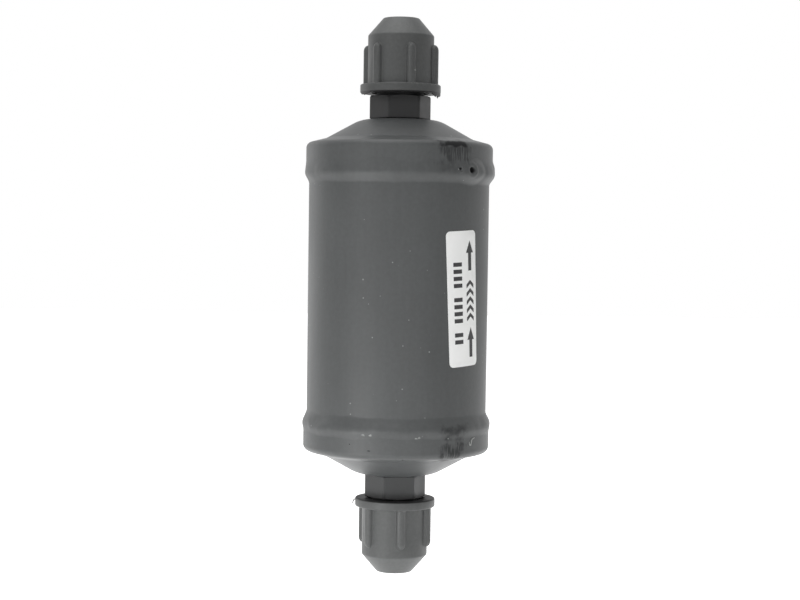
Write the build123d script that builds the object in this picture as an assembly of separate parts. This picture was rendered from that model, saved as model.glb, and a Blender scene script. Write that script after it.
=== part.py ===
from build123d import *
import os
from math import cos, hypot, pi, radians, sin, tan

# Filter drier for a refrigerant liquid line, with male flare fittings and screwed sealing caps.
# Millimetres. The can's axis is Z, its middle is the origin, and the refrigerant leaves at +Z.
# Angles round the can are measured from its front (-Y) towards its right side (+X).
# Every end piece is drawn at the outlet (+Z) end, and is turned over for the inlet.

# ---- driving dimensions: welded steel can ----
shell_r = 27.0
shell_wall = 1.0
cap_wall = 0.9
cap_fit = 0.05
shell_length = 87.0
skirt_overlap = 6.5
shoulder_rise = 2.3
shoulder_slope = radians(14.5)
shoulder_round = 1.9
shoulder_width = 5.85
knee_round = 3.0
cone_slope = radians(29.0)
crown_r = 11.6
crown_round = 10.0

# ---- driving dimensions: weld between each skirt and the shell ----
bead_on_shell = 3.3
bead_on_skirt = 3.9
bead_crest = 0.35
stop_angle = 61.0
stop_size = (10.0, 2.2, 3.9)
stop_height = 0.85
pit_angle = 51.0
pit_r = 0.8
pit_depth = 0.7

# ---- driving dimensions: 3/8 inch flare fittings ----
thread_major_r = 7.9375
thread_pitch = 25.4 / 18
hex_flats = 16.0
hex_length = 7.1
hex_chamfer = radians(20.0)
hex_face_r = 7.8
hex_turn = -21.6
stub_length = 17.8
relief_length = 1.6
relief_depth = 0.8
thread_end_chamfer = 0.9
nose_root_r = 6.9
nose_tip_r = 4.7
nose_slope = radians(45.0)
flow_bore_r = 3.6
spigot_r = 6.6
spigot_fit = 0.05
spigot_length = 2.6
braze_leg = 1.1

# ---- driving dimensions: screwed sealing caps and their seals ----
rim_gap = 0.2
outlet_backoff_turns = 1 / 3
cap_bore_fit = 0.12
cap_mouth_depth = 4.0
cap_mouth_step = 0.5
flange_r = 12.05
flange_thickness = 2.65
flange_round = 0.45
body_r = 9.87
body_length = 14.5
tip_r = 5.3
tip_length = 5.3
tip_round = 0.7
grip_ribs = 6
rib_r = 1.3
rib_sink = 0.05
rib_end_drop = 2.7
outlet_rib_turn = 17.5
inlet_rib_turn = 11.0
seal_thickness = 1.4
seal_gap = 0.1
seal_skirt = 1.9

# ---- driving dimensions: what the can holds ----
core_gap = 1.5
core_length = 64.0
core_chamfer = 1.5
sheet_gap = 0.02
wall_gap = 0.3
support_wall = 1.0
support_depth = 4.0
support_bend = 1.5
screen_thickness = 0.4
outlet_mat_thickness = 4.0
inlet_pad_thickness = 3.0
collar_length = 7.0
plate_wall = 1.0
plate_rim = 3.0
plate_bend = 1.5
perforation_r = 1.9
hole_ring_step = 8.0
hole_ring_count = 2
holes_per_ring = 6
spring_wire_r = 1.0
spring_seat_inset = 4.55
spring_small_r = 12.5
spring_turns = 3.5
bends_per_turn = 10
bend_share = 0.45

# ---- driving dimensions: stuck-on label ----
label_width = 12.0
label_height = 39.5
label_corner = 1.4
label_film = 0.08
label_angle = 45.2
label_rise = 0.5
label_lean = 2.9

# ---- places worked out from the sizes above ----
skirt_r = shell_r + cap_fit + cap_wall
shell_half = shell_length / 2
skirt_edge_z = shell_half - skirt_overlap
shoulder_z = shell_half + shoulder_rise
shell_inner_r = shell_r - shell_wall
knee_r = skirt_r - shoulder_width
knee_z = shoulder_z + (skirt_r - knee_r) * tan(shoulder_slope)
dome_top_z = knee_z + (knee_r - crown_r) * tan(cone_slope)
dome_inside_z = dome_top_z - cap_wall
hex_face_z = dome_top_z + hex_length
stub_end_z = hex_face_z + stub_length
nose_root_z = stub_end_z - (nose_root_r - nose_tip_r) * tan(nose_slope)
thread_end_z = nose_root_z - thread_end_chamfer
rim_z = hex_face_z + rim_gap
backoff = outlet_backoff_turns * thread_pitch
cap_bore_r = thread_major_r + cap_bore_fit
cone_base = flange_thickness + body_length
core_r = shell_inner_r - core_gap
spring_big_r = skirt_r - spring_seat_inset


def inside_z(r):
    """Height of the end cap's inner face above the middle, on its sloping shoulder."""
    return shoulder_z + (skirt_r - r) * tan(shoulder_slope) - cap_wall / cos(shoulder_slope)


def turned(points, radii=0.0):
    """Solid turned about Z from (radius, height) points, with a rounding for each corner."""
    if not isinstance(radii, list):
        radii = [radii] * len(points)
    outline = FilletPolyline(*points, radius=radii, close=True)
    return revolve(Plane.XZ * make_face(outline), Axis.Z)


def at_angle(angle):
    """Turn a piece drawn on the front of the can round to an angle."""
    return Rot(Z=angle)


def inlet(piece):
    """Turn an outlet piece end over end, which keeps its screw thread right-handed."""
    return Rot(X=180) * piece


# ---- can ----
def shell_tube():
    """Rolled tube whose ends stand inside the skirts of the end caps."""
    return Cylinder(shell_r, 2 * shell_half) - Cylinder(shell_inner_r, 2 * shell_half)


def end_cap():
    """Pressed cap of one thickness: skirt, sloping shoulder, cone and a pierced flat crown."""
    outer = [
        (skirt_r, skirt_edge_z),
        (skirt_r, shoulder_z),
        (knee_r, knee_z),
        (crown_r, dome_top_z),
        (spigot_r + spigot_fit, dome_top_z),
    ]
    line = FilletPolyline(*outer, radius=[shoulder_round, knee_round, crown_round])
    sheet = offset(line, amount=cap_wall, side=Side.LEFT, closed=True)
    return revolve(Plane.XZ * make_face(sheet), Axis.Z)


def weld_bead():
    """Fillet weld laid round the edge of the skirt, crowned outwards."""
    low = (shell_r, skirt_edge_z - bead_on_shell)
    crest = (skirt_r + bead_crest, skirt_edge_z + bead_crest)
    high = (skirt_r, skirt_edge_z + bead_on_skirt)
    crown = ThreePointArc(low, crest, high)
    root = Polyline(high, (skirt_r, skirt_edge_z), (shell_r, skirt_edge_z), low)
    return revolve(Plane.XZ * make_face(crown + root), Axis.Z)


def weld_stop():
    """Swollen overlap where the weld run starts and ends."""
    swell = scale(Sphere(1), by=(stop_size[0], stop_size[1], stop_size[2]))
    reach = skirt_r + stop_height - stop_size[1]
    swell = Pos(0, -reach, skirt_edge_z + bead_crest) * swell
    inside_skirt = Pos(0, 0, skirt_edge_z + stop_size[2]) * Cylinder(skirt_r, 2 * stop_size[2])
    inside_shell = Pos(0, 0, skirt_edge_z) * Cylinder(shell_r, 4 * stop_size[2])
    return at_angle(stop_angle) * (swell - inside_skirt - inside_shell)


def blow_hole():
    """Gas pit left in the swollen end of the weld."""
    floor_r = skirt_r + stop_height - pit_depth
    pit = Plane.XZ.offset(floor_r) * extrude(Circle(pit_r), amount=2 * pit_depth)
    return at_angle(pit_angle) * Pos(0, 0, skirt_edge_z + bead_crest) * pit


# ---- fittings ----
def flare_fitting():
    """Male flare fitting: spigot in the crown, hexagon, threaded stub and sealing cone."""
    relief_r = thread_major_r - relief_depth
    turned_form = turned(
        [
            (flow_bore_r, dome_top_z - spigot_length),
            (spigot_r, dome_top_z - spigot_length),
            (spigot_r, hex_face_z),
            (relief_r, hex_face_z),
            (relief_r, hex_face_z + relief_length),
            (thread_major_r, hex_face_z + relief_length + relief_depth),
            (thread_major_r, thread_end_z),
            (nose_root_r, nose_root_z),
            (nose_tip_r, stub_end_z),
            (flow_bore_r, stub_end_z),
        ]
    )
    hexagon = Pos(0, 0, dome_top_z) * extrude(
        RegularPolygon(hex_flats / 2, 6, major_radius=False, rotation=-90), amount=hex_length
    )
    corner_r = hex_flats / 2 / cos(radians(30))
    corner_drop = (corner_r - hex_face_r) * tan(hex_chamfer)
    crown_rise = (corner_r**2 - hex_face_r**2 + corner_drop**2) / (2 * corner_drop)
    crown = Pos(0, 0, hex_face_z - crown_rise) * Sphere(hypot(hex_face_r, crown_rise))
    hexagon = (hexagon & crown) - Cylinder(flow_bore_r, 3 * hex_face_z)
    return turned_form + hexagon


def braze_ring():
    """Fillet of brazing metal inside the can, round the spigot."""
    return turned(
        [
            (spigot_r, dome_inside_z),
            (spigot_r, dome_inside_z - braze_leg),
            (spigot_r + braze_leg, dome_inside_z),
        ]
    )


# ---- sealing caps, drawn from their rim upwards ----
def cap_roof():
    """Heights above the rim of the cone and the flat inside the cap, which follow the seal."""
    offset_r = seal_thickness * tan(nose_slope / 2)
    flat = stub_end_z + 2 * seal_gap + seal_thickness - rim_z
    flat_r = nose_tip_r + offset_r
    return flat_r, flat


def sealing_cap():
    """Moulded cap: flange, six half-round grip ribs, tapered tip, bore for the thread."""
    top = cone_base + tip_length
    outside = turned(
        [
            (0, 0),
            (flange_r, 0),
            (flange_r, flange_thickness),
            (body_r, flange_thickness),
            (body_r, cone_base),
            (tip_r, top),
            (0, top),
        ],
        [0, flange_round, flange_round, flange_round, tip_round, tip_round, 0],
    )
    flat_r, flat = cap_roof()
    mouth_r = cap_bore_r + cap_mouth_step
    inside = turned(
        [
            (0, 0),
            (mouth_r, 0),
            (mouth_r, cap_mouth_depth),
            (cap_bore_r, cap_mouth_depth + cap_mouth_step),
            (cap_bore_r, flat - (cap_bore_r - flat_r) * tan(nose_slope)),
            (flat_r, flat),
            (0, flat),
        ]
    )
    rib_length = body_length - rib_end_drop - rib_r
    rib = Cylinder(rib_r, rib_length, align=(Align.CENTER, Align.CENTER, Align.MIN))
    rib += Pos(0, 0, rib_length) * Sphere(rib_r)
    rib = Pos(0, -(body_r + rib_sink), flange_thickness) * rib
    ribs = [Rot(Z=360 * i / grip_ribs) * rib for i in range(grip_ribs)]
    return Pos(0, 0, rim_z) * (outside + ribs - inside)


def cap_seal():
    """Rubber cup that covers the bore and the sealing cone of the fitting."""
    offset_r = seal_thickness * tan(nose_slope / 2)
    low = stub_end_z + seal_gap
    edge_r = nose_tip_r + seal_skirt
    edge_z = low - seal_skirt * tan(nose_slope)
    rise = seal_thickness * cos(nose_slope)
    return turned(
        [
            (0, low),
            (nose_tip_r, low),
            (edge_r, edge_z),
            (edge_r + rise, edge_z + rise),
            (nose_tip_r + offset_r, low + seal_thickness),
            (0, low + seal_thickness),
        ]
    )


# ---- filter stack, from the outlet end downwards ----
support_rim_r = shell_inner_r - wall_gap
support_top_z = inside_z(support_rim_r) - sheet_gap
support_floor_z = support_top_z - support_depth
screen_low_z = support_floor_z - screen_thickness
mat_low_z = screen_low_z - outlet_mat_thickness
core_top_z = mat_low_z
core_low_z = core_top_z - core_length
pad_low_z = core_low_z - inlet_pad_thickness
plate_low_z = pad_low_z - plate_wall


def perforated_cup(rim_r, floor_z, depth, wall, bend):
    """Pressed sheet cup, its rim turned up from floor_z, pierced in rings of round holes."""
    profile = [(0, floor_z), (rim_r, floor_z), (rim_r, floor_z + depth)]
    sheet = offset(FilletPolyline(*profile, radius=[bend]), amount=wall, side=Side.LEFT, closed=True)
    cup = revolve(Plane.XZ * make_face(sheet), Axis.Z)
    cup -= Pos(0, 0, floor_z) * Cylinder(perforation_r, 4 * wall)
    for ring in range(1, hole_ring_count + 1):
        hole = Pos(0, -ring * hole_ring_step, floor_z) * Cylinder(perforation_r, 4 * wall)
        holes = ring * holes_per_ring
        cup -= [Rot(Z=360 * i / holes) * hole for i in range(holes)]
    return cup


def support_plate():
    """Cup that seats on the inner shoulder of the outlet end cap and holds up the stack."""
    return perforated_cup(support_rim_r, support_floor_z, support_depth, support_wall, support_bend)


def outlet_screen():
    """Fine screen under the support plate."""
    r = support_rim_r
    return Pos(0, 0, screen_low_z + screen_thickness / 2) * Cylinder(r, screen_thickness)


def outlet_filter_mat():
    """Felt mat that catches loose desiccant before the outlet."""
    r = shell_inner_r - wall_gap
    return Pos(0, 0, mat_low_z + outlet_mat_thickness / 2) * Cylinder(r, outlet_mat_thickness)


def desiccant_core():
    """Moulded block of bonded desiccant, with both end edges chamfered."""
    return turned(
        [
            (0, core_low_z),
            (core_r - core_chamfer, core_low_z),
            (core_r, core_low_z + core_chamfer),
            (core_r, core_top_z - core_chamfer),
            (core_r - core_chamfer, core_top_z),
            (0, core_top_z),
        ]
    )


def core_collar():
    """Ring that closes the gap between the core and the shell at the outlet end."""
    middle = core_top_z - core_chamfer - collar_length / 2
    ring = Cylinder(shell_inner_r - sheet_gap, collar_length) - Cylinder(core_r, collar_length)
    return Pos(0, 0, middle) * ring


def inlet_filter_pad():
    """Felt pad between the core and the plate that presses it."""
    middle = pad_low_z + inlet_pad_thickness / 2
    return Pos(0, 0, middle) * Cylinder(core_r, inlet_pad_thickness)


def pressure_plate():
    """Cup that spreads the load of the spring, its rim turned towards the inlet."""
    cup = perforated_cup(core_r, -pad_low_z, plate_rim, plate_wall, plate_bend)
    return inlet(cup)


def compression_spring():
    """Conical coil between the inlet end cap's shoulder and the pressure plate, bent as arcs."""
    seat_z = inside_z(spring_big_r) - spring_wire_r / cos(shoulder_slope) - sheet_gap
    height = seat_z + plate_low_z - spring_wire_r - sheet_gap
    bends = round(spring_turns * bends_per_turn)
    corners = []
    for i in range(bends + 1):
        share = i / bends
        r = spring_big_r + (spring_small_r - spring_big_r) * share
        turn = 2 * pi * spring_turns * share
        corners.append(Vector(r * cos(turn), r * sin(turn), share * height - seat_z))
    runs = [(b - a).length for a, b in zip(corners, corners[1:])]
    tightest = [min(pair) for pair in zip(runs, runs[1:])]
    rounds = [bend_share * run / tan(pi / bends_per_turn) for run in tightest]
    path = FilletPolyline(*corners, radius=rounds)
    wire = Plane(origin=path @ 0, z_dir=path % 0) * Circle(spring_wire_r)
    return sweep(wire, path=path)


# ---- label ----
def flow_label():
    """Film stuck to the shell: a rounded rectangle that leans a little."""
    chord = 2 * shell_r * sin(label_width / shell_r / 2)
    outline = Rot(Z=label_lean) * RectangleRounded(chord, label_height, label_corner)
    block = extrude(Plane.XZ * (Pos(0, label_rise) * outline), amount=2 * shell_r)
    film = Cylinder(shell_r + label_film, 2 * label_height) - Cylinder(shell_r, 2 * label_height)
    return at_angle(label_angle) * (block & film)


# ---- the assembly, one piece to a node ----
outlet_bead = weld_bead() + weld_stop() - blow_hole()
hex_at = at_angle(hex_turn)
backed_off = Pos(0, 0, backoff)
nodes = {
    "shell_tube": shell_tube(),
    "outlet_end_cap": end_cap(),
    "inlet_end_cap": inlet(end_cap()),
    "outlet_weld_bead": outlet_bead,
    "inlet_weld_bead": inlet(weld_bead()),
    "outlet_flare_fitting": hex_at * flare_fitting(),
    "inlet_flare_fitting": hex_at * inlet(flare_fitting()),
    "outlet_braze_ring": braze_ring(),
    "inlet_braze_ring": inlet(braze_ring()),
    "outlet_sealing_cap": backed_off * at_angle(outlet_rib_turn) * sealing_cap(),
    "inlet_sealing_cap": at_angle(inlet_rib_turn) * inlet(sealing_cap()),
    "outlet_cap_seal": backed_off * cap_seal(),
    "inlet_cap_seal": inlet(cap_seal()),
    "compression_spring": compression_spring(),
    "pressure_plate": pressure_plate(),
    "inlet_filter_pad": inlet_filter_pad(),
    "desiccant_core": desiccant_core(),
    "core_collar": core_collar(),
    "outlet_filter_mat": outlet_filter_mat(),
    "outlet_screen": outlet_screen(),
    "support_plate": support_plate(),
    "flow_label": flow_label(),
}

os.makedirs("parts", exist_ok=True)
for name, piece in nodes.items():
    export_step(piece, f"parts/{name}.step")
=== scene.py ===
"""Filter drier with screwed sealing caps: the finishes, welds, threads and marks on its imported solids.

Metres. The can's axis is Z and its front is -Y. Angles round the can are measured from the front
towards the right side (+X). End pieces are drawn at the outlet (+Z) end and turned over for the inlet.
"""

from math import atan2, cos, hypot, pi, radians, sin, sqrt, tan

import bmesh
import bpy
from bpy.props import FloatProperty, FloatVectorProperty, IntProperty, PointerProperty
from bpy.types import Operator, Panel, PropertyGroup
from mathutils import Matrix, Vector, noise


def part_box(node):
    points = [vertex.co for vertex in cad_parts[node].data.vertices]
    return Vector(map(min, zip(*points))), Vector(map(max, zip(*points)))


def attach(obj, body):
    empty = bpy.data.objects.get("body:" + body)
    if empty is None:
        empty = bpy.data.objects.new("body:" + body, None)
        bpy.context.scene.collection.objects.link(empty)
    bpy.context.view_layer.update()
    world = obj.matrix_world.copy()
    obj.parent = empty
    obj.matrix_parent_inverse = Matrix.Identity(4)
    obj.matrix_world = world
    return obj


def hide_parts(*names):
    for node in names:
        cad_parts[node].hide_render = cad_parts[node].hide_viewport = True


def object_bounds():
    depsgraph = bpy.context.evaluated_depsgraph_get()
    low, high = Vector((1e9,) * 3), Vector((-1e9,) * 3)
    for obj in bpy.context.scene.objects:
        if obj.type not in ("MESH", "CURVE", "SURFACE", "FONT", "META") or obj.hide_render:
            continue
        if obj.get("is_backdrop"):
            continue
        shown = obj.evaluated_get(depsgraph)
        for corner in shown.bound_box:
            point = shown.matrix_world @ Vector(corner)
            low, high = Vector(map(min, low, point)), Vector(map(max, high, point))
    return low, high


bl_info = {
    "name": "Filter drier dresser",
    "version": (1, 0, 0),
    "blender": (4, 5, 0),
    "location": "View3D > Sidebar > Drier",
    "description": "Builds the finishes and the fine pieces of a flare-fitted filter drier",
    "category": "Object",
}

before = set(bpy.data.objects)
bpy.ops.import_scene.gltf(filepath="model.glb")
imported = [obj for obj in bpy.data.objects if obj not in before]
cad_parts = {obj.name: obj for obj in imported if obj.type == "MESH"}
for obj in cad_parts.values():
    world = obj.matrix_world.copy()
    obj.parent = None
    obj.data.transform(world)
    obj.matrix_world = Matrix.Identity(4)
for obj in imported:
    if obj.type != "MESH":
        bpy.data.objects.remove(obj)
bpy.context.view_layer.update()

MM = 0.001
TURN = 2 * pi
TINY = 1e-7
FRONT = -pi / 2
SECTORS = 12  # a turned skin is made as one sector and its copies
THREAD_DEPTH = 0.5413  # of the pitch, for a unified thread
THREAD_SINK = 0.03 * MM  # how far a ridge's foot lies inside the wall that carries it
THREAD_LEAD = 0.45  # of the pitch, from the relief to the middle of the first ridge
FLANK = tan(radians(30))
FILM = 0.08 * MM

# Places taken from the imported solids.
shell_low, shell_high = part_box("shell_tube")
skirt_low, skirt_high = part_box("outlet_end_cap")
fitting_low, fitting_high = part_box("outlet_flare_fitting")
outlet_cap_low, outlet_cap_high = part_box("outlet_sealing_cap")
inlet_cap_low, inlet_cap_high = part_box("inlet_sealing_cap")
label_low, label_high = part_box("flow_label")
SHELL_R = shell_high.x
SKIRT_R = skirt_high.x
SKIRT_EDGE = skirt_low.z
DOME_TOP = skirt_high.z
STUB_END = fitting_high.z
SPIGOT_END = fitting_low.z
OUTLET_RIM = outlet_cap_low.z
INLET_RIM = -inlet_cap_high.z
FLANGE_R = outlet_cap_high.x
CAP_HEIGHT = outlet_cap_high.z - outlet_cap_low.z
LABEL_MIDDLE = (label_low.z + label_high.z) / 2


# ---------------------------------------------------------------- sizes and colours


def length(name, description, default):
    """Length whose default is given in millimetres."""
    return FloatProperty(name=name, description=description, default=default * MM, unit="LENGTH", precision=5)


def angle(name, description, default):
    """Angle whose default is given in degrees."""
    return FloatProperty(
        name=name, description=description, default=radians(default), unit="ROTATION", subtype="ANGLE"
    )


def share(name, description, default):
    return FloatProperty(name=name, description=description, default=default, min=0, max=4)


def colour(name, description, default):
    return FloatVectorProperty(
        name=name, description=description, default=default, subtype="COLOR", min=0, max=1
    )


class DrierWeld(PropertyGroup):
    toe: length("Toe", "How far the bead runs over the shell from the skirt's edge", 3.4)
    outlet_top: length("Outlet top", "How far the outlet bead climbs the skirt", 4.2)
    inlet_top: length("Inlet top", "How far the inlet bead climbs the skirt", 3.3)
    crest: length("Crest", "How far the bead stands proud of the skirt", 0.34)
    waver: length("Waver", "How far the bead's edges wander", 0.55)
    lumps: length("Lumps", "How uneven the bead's crown is", 0.26)
    stop_angle: angle("Stop", "Where the swollen end of the run is", 50.5)
    stop_length: length("Stop length", "Half length of the swollen end round the can", 6.4)
    stop_height: length("Stop height", "Half height of the swollen end", 3.9)
    stop_swell: length("Stop swell", "How proud the swollen end is", 0.62)
    tail_swell: length("Tail swell", "How proud the run is just before its swollen end", 0.34)
    pit_angle: angle("Crater", "Where the crater in the swollen end is", 47.4)
    pit_radius: length("Crater radius", "Radius of the crater's mouth", 1.0)
    pit_depth: length("Crater depth", "Depth of the crater", 1.1)
    pore_angle: angle("Pore", "Where the small gas pore is", 38.8)
    pore_radius: length("Pore radius", "Radius of the small pore", 0.5)
    pit_rise: length("Crater rise", "Height of the crater over the skirt's edge", 0.8)
    pore_rise: length("Pore rise", "Height of the pore over the skirt's edge", 1.1)
    steps: IntProperty(name="Steps", description="Steps round each bead", default=900, min=60)


class DrierFitting(PropertyGroup):
    hex_length: length("Hexagon length", "From the can's crown to the hexagon's face", 7.1)
    hex_flats: length("Hexagon flats", "Width across the hexagon's flats", 16.0)
    hex_face_radius: length("Face radius", "Where the hexagon's chamfer starts", 7.8)
    hex_chamfer: angle("Chamfer", "Slope of the hexagon's chamfer", 20.0)
    hex_turn: angle("Hexagon turn", "Turn of a hexagon corner from the front", -21.6)
    thread_radius: length("Thread radius", "Major radius of the thread", 7.9375)
    thread_pitch: length("Thread pitch", "Rise of the thread in one turn", 25.4 / 18)
    relief_length: length("Relief length", "Plain neck under the thread", 1.6)
    relief_radius: length("Relief radius", "Radius of that neck", 7.1375)
    nose_root_radius: length("Nose root", "Radius at the foot of the sealing cone", 6.9)
    nose_tip_radius: length("Nose tip", "Radius at the top of the sealing cone", 4.7)
    bore_radius: length("Bore", "Radius of the flow passage", 3.6)
    spigot_radius: length("Spigot", "Radius of the spigot in the crown", 6.6)
    steps: IntProperty(name="Steps", description="Steps round the fitting", default=288, min=36)


class DrierCap(PropertyGroup):
    flange_thickness: length("Flange", "Thickness of the flange at the rim", 2.65)
    flange_round: length("Flange rounding", "Rounding of the flange's edges", 0.45)
    body_radius: length("Body radius", "Radius of the body between the ribs", 9.87)
    body_length: length("Body length", "From the flange to the cone", 14.5)
    tip_radius: length("Tip radius", "Radius of the flat tip", 5.3)
    tip_round: length("Tip rounding", "Rounding of the cone's edges", 0.7)
    rib_count: IntProperty(name="Ribs", description="Number of grip ribs", default=6, min=2)
    rib_radius: length("Rib radius", "Radius of a half-round rib", 1.35)
    rib_fillet: length("Rib fillet", "Fillet along the foot of a rib", 0.32)
    rib_stand: length("Rib stand", "How far a rib's centre stands out of the body", 0.22)
    rib_end_drop: length("Rib drop", "From the cone down to the end of a rib", 2.7)
    outlet_turn: angle("Outlet ribs", "Turn of the outlet cap's ribs from the front", 17.5)
    inlet_turn: angle("Inlet ribs", "Turn of the inlet cap's ribs from the front", 11.0)
    bore_radius: length("Bore", "Radius of the cap's bore", 8.0575)
    mouth_depth: length("Mouth depth", "Depth of the plain mouth", 4.0)
    mouth_step: length("Mouth step", "How much wider the mouth is than the bore", 0.5)
    roof_height: length("Roof", "Height of the inner roof over the rim", 19.2)
    roof_radius: length("Roof radius", "Radius of that roof", 5.28)
    play: length("Play", "Play between the two threads", 0.08)
    steps: IntProperty(name="Steps", description="Steps round the cap", default=720, min=72)


class DrierLabel(PropertyGroup):
    angle: angle("Place", "Where the middle of the label is", 45.2)
    lean: angle("Lean", "How far the label leans", 2.9)
    rise: length("Rise", "How high the label sits", 0.5)
    arrow_column: length("Arrow column", "Middle of the arrows, right of the label's middle", 3.0)
    mark_column: length("Mark column", "Middle of the row of bars", -2.1)
    arrow_width: length("Arrow width", "Width of an arrow's head", 3.2)
    arrow_head: length("Arrow head", "Length of an arrow's head", 3.6)
    shaft_width: length("Shaft width", "Width of an arrow's shaft", 1.45)
    ink_lift: length("Ink", "Thickness of the print", 0.012)


class DrierFinish(PropertyGroup):
    coat: colour("Coat", "Powder coat of the can", (0.047, 0.050, 0.0505))
    # This colour is also the painted shade in the crater, the pore, the nicks and the outlet cap's slit.
    coat_worn_and_hollow_shade: colour("Worn coat", "Powder coat where it has been rubbed dark", (0.006, 0.006, 0.0065))
    # This colour also paints the glints on the lower bead and the pore's lip.
    coat_dust_and_glint: colour("Dust", "Specks and dried dust on the coat", (0.26, 0.27, 0.26))
    coat_roughness: share("Coat roughness", "Roughness of the powder coat", 0.46)
    # The outlet hexagon's colour is darkened as painted shade under its cap's flange; the inlet hexagon's
    # colour is close to the can's own coat.
    hexagon: colour("Hexagon coat", "Thin coat on the fittings", (0.016, 0.016, 0.0165))
    inlet_hexagon: colour("Inlet hexagon", "Thicker, paler coat on the inlet fitting", (0.042, 0.043, 0.0435))
    plastic: colour("Plastic", "Moulded plastic of the sealing caps", (0.042, 0.044, 0.0435))
    plastic_scuff: colour("Scuff", "Scuffed plastic on edges", (0.14, 0.145, 0.14))
    # Painted shade: this colour stands in for the can's shade on each cap's rim face and mouth.
    plastic_mouth_painted_shade: colour("Cap mouth", "Untouched plastic of a cap's rim and mouth", (0.02, 0.02, 0.02))
    # Painted light: the whole inlet cap is made paler for the stronger light at the can's lower end.
    inlet_painted_light: share("Inlet fade", "How much paler the inlet cap has gone", 1.28)
    # Painted light: the cones are made paler where they catch more light than the caps' bodies.
    outlet_tip_painted_light: share("Outlet tip", "How much paler the outlet cap's cone is", 1.68)
    inlet_tip_painted_light: share("Inlet tip", "How much paler the inlet cap's cone is", 1.4)
    plastic_roughness: share("Plastic roughness", "Roughness of the moulded plastic", 0.5)
    brass: colour("Brass", "Bare metal of the threads and the sealing cone", (0.60, 0.47, 0.25))
    film: colour("Label film", "White film of the label", (0.94, 0.945, 0.935))
    ink: colour("Ink", "Print on the label", (0.009, 0.009, 0.010))


class DrierStage(PropertyGroup):
    floor_drop: length("Floor drop", "How far the floor is under the object", 11.5)
    floor_size: length("Floor size", "Side of the floor", 4000.0)
    distance: length("Camera distance", "From the camera to the can's axis", 557.2)
    camera_side: length("Camera side", "How far right of the axis the camera is", 0.84)
    camera_height: length("Camera height", "Height of the camera", 19.73)
    aim_height: length("Aim height", "Height that the camera looks at", -9.38)
    lens: FloatProperty(name="Lens", description="Focal length in millimetres", default=83.35)
    roll: angle("Roll", "Roll of the camera", 0.80)
    shift: FloatProperty(name="Shift", description="Vertical shift of the picture", default=0.0356)
    world_level: share("World level", "Light that comes from all round", 0.3)


# ---------------------------------------------------------------- mesh work


def outline(corners, segments=5):
    """Flat closed face in the XZ plane from (radius, height, rounding) corners, its corners rounded."""
    bm = bmesh.new()
    verts = [bm.verts.new((r, 0, z)) for r, z, _ in corners]
    bm.faces.new(verts)
    for vert, (_, _, rounding) in zip(verts, corners):
        if rounding > 0:
            one, other = (edge.other_vert(vert).co - vert.co for edge in vert.link_edges)
            reach = rounding / tan(one.angle(other) / 2)
            bmesh.ops.bevel(
                bm, geom=[vert], affect="VERTICES", offset=reach, offset_type="OFFSET",
                segments=segments, profile=0.5, material=-1,
            )
    return bm


def spin(bm, geom, angle, steps, rise=0.0, copies=False):
    """Sweep geometry round Z, or copy it round Z, with a rise at each step."""
    bmesh.ops.spin(
        bm, geom=geom, cent=(0, 0, 0), axis=(0, 0, 1), dvec=(0, 0, rise),
        angle=angle, steps=steps, use_merge=False, use_duplicate=copies,
    )


def refine(bm, low, high, cuts):
    """Divide the outline's steep edges that lie between two heights."""
    chosen = [
        e for e in bm.edges
        if all(low - TINY <= v.co.z <= high + TINY for v in e.verts)
        and abs(e.verts[0].co.z - e.verts[1].co.z) > (high - low) / 2
        and e.verts[0].co.x > 9 * MM
    ]
    bmesh.ops.subdivide_edges(bm, edges=chosen, cuts=cuts)


def turn_round(bm, steps):
    """Turn an outline about Z into a closed skin, faces outwards."""
    bmesh.ops.delete(bm, geom=bm.faces[:], context="FACES_ONLY")
    axis_edges = [e for e in bm.edges if all(v.co.x < TINY for v in e.verts)]
    bmesh.ops.delete(bm, geom=axis_edges, context="EDGES")
    spin(bm, bm.verts[:] + bm.edges[:], TURN / SECTORS, steps // SECTORS)
    spin(bm, bm.verts[:] + bm.edges[:] + bm.faces[:], TURN - TURN / SECTORS, SECTORS - 1, copies=True)
    bmesh.ops.remove_doubles(bm, verts=bm.verts[:], dist=TINY)
    bmesh.ops.recalc_face_normals(bm, faces=bm.faces[:])


def turn_over(bm):
    """Turn an outlet piece end over end for the inlet."""
    bmesh.ops.rotate(bm, verts=bm.verts[:], cent=(0, 0, 0), matrix=Matrix.Rotation(pi, 3, "X"))


def turn_about(bm, by):
    """Turn a piece about the can's axis."""
    bmesh.ops.rotate(bm, verts=bm.verts[:], cent=(0, 0, 0), matrix=Matrix.Rotation(by, 3, "Z"))


def join(bm, other):
    """Add another bmesh to this one."""
    scrap = bpy.data.meshes.new("scrap")
    other.to_mesh(scrap)
    other.free()
    bm.from_mesh(scrap)
    bpy.data.meshes.remove(scrap)


def thread_ridge(foot_r, foot_half, crest_r, crest_half, start_z, pitch, turns, start_angle):
    """Helical ridge of a thread, with both ends run out to nothing and closed."""
    bm = bmesh.new()
    section = [
        (foot_r, start_z - foot_half),
        (crest_r, start_z - crest_half),
        (crest_r, start_z + crest_half),
        (foot_r, start_z + foot_half),
    ]
    verts = [bm.verts.new((r, 0, z)) for r, z in section]
    edges = [bm.edges.new((a, b)) for a, b in zip(verts, verts[1:] + verts[:1])]
    steps_per_turn = 90
    steps = round(turns * steps_per_turn)
    spin(bm, verts + edges, steps / steps_per_turn * TURN, steps, rise=pitch / steps_per_turn)
    bmesh.ops.holes_fill(bm, edges=[e for e in bm.edges if e.is_boundary], sides=0)
    run_out = 0.3
    for vert in bm.verts:
        along = (vert.co.z - start_z) / pitch
        fade = min(1, max(0.02, along / run_out), max(0.02, (turns - along) / run_out))
        r = radius_of(vert)
        widen(vert, (foot_r + (r - foot_r) * fade) / r)
    bmesh.ops.recalc_face_normals(bm, faces=bm.faces[:])
    turn_about(bm, start_angle)
    return bm


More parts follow.
